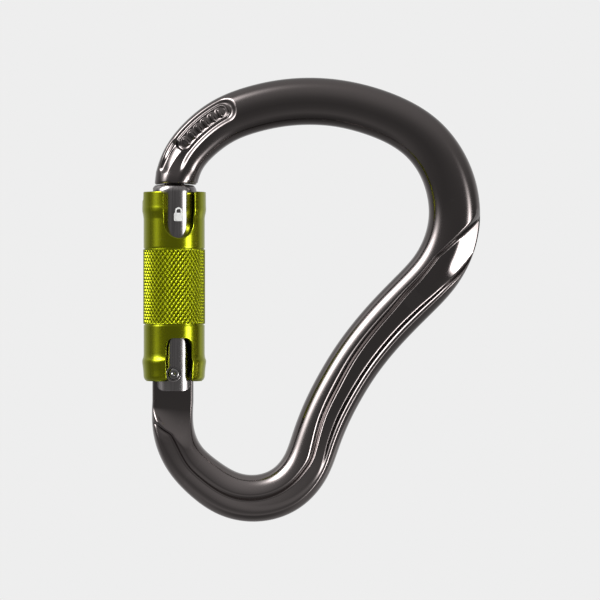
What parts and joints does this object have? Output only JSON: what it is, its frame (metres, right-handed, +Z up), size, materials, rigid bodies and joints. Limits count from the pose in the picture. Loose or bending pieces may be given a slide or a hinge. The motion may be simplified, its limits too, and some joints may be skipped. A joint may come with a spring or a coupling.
{
  "type": "locking carabiner",
  "caption": "Pear-shaped locking carabiner: forged frame, sprung round gate and a sprung knurled sleeve that lifts and twists to free the gate.",
  "frame": {"origin": "where a rope or sling bears on the inside of the wide end, in the middle of the bar's thickness", "axes": "+Z up towards the wide end, +X from the gate side towards the spine, +Y through the thickness, away from the viewer of the front face"},
  "size_m": [0.0888, 0.0164, 0.1167],
  "materials": {
    "frame_metal": "anodised dark gunmetal, polished",
    "gate_metal": "clear anodised, polished",
    "rivet_steel": "stainless, polished",
    "plunger_steel": "stainless, turned",
    "spring_steel": "stainless spring wire",
    "sleeve_metal": "anodised lime green, turned and knurled",
    "bush_plastic": "black acetal",
    "pin_steel": "stainless, ground",
    "washer_plastic": "natural acetal",
    "seat_steel": "stainless, stamped"
  },
  "bodies": {
    "body_frame": {"frame": "frame_metal"},
    "body_gate": {"gate": "gate_metal", "hinge_rivet": "rivet_steel", "guide_pin": "pin_steel", "gate_spring": "spring_steel", "sleeve_spring": "spring_steel", "spring_seat": "seat_steel", "snap_ring": "seat_steel"},
    "body_plunger": {"gate_plunger": "plunger_steel"},
    "sleeve_carrier": {"thrust_washer": "washer_plastic"},
    "body_sleeve": {"locking_sleeve": "sleeve_metal", "guide_bush": "bush_plastic"}
  },
  "joints": [
    {"name": "gate_swing", "type": "hinge", "parent": "body_frame", "child": "body_gate", "pos_m": [-0.03493, 0, -0.06536], "axis": [0, 1, 0], "range_deg": [0, 28], "stiffness_Nm_per_rad": 0.12, "springref_deg": -34.38},
    {"name": "plunger_slide", "type": "slide", "parent": "body_gate", "child": "body_plunger", "axis": [0, 0, 1], "range_m": [0, 0.0013], "deforming": ["gate_spring"]},
    {"name": "sleeve_lift", "type": "slide", "parent": "body_gate", "child": "sleeve_carrier", "axis": [0, 0, 1], "range_m": [0, 0.0025], "stiffness_N_per_m": 600, "springref_m": -0.008, "deforming": ["sleeve_spring"]},
    {"name": "sleeve_twist", "type": "hinge", "parent": "sleeve_carrier", "child": "body_sleeve", "pos_m": [-0.03493, 0, -0.04536], "axis": [0, 0, 1], "range_deg": [0, 78], "stiffness_Nm_per_rad": 0.01, "springref_deg": -68.75}
  ],
  "couplings": [
    {"joint": "plunger_slide", "follows": "gate_swing", "m_per_rad": 0.0024555}
  ]
}
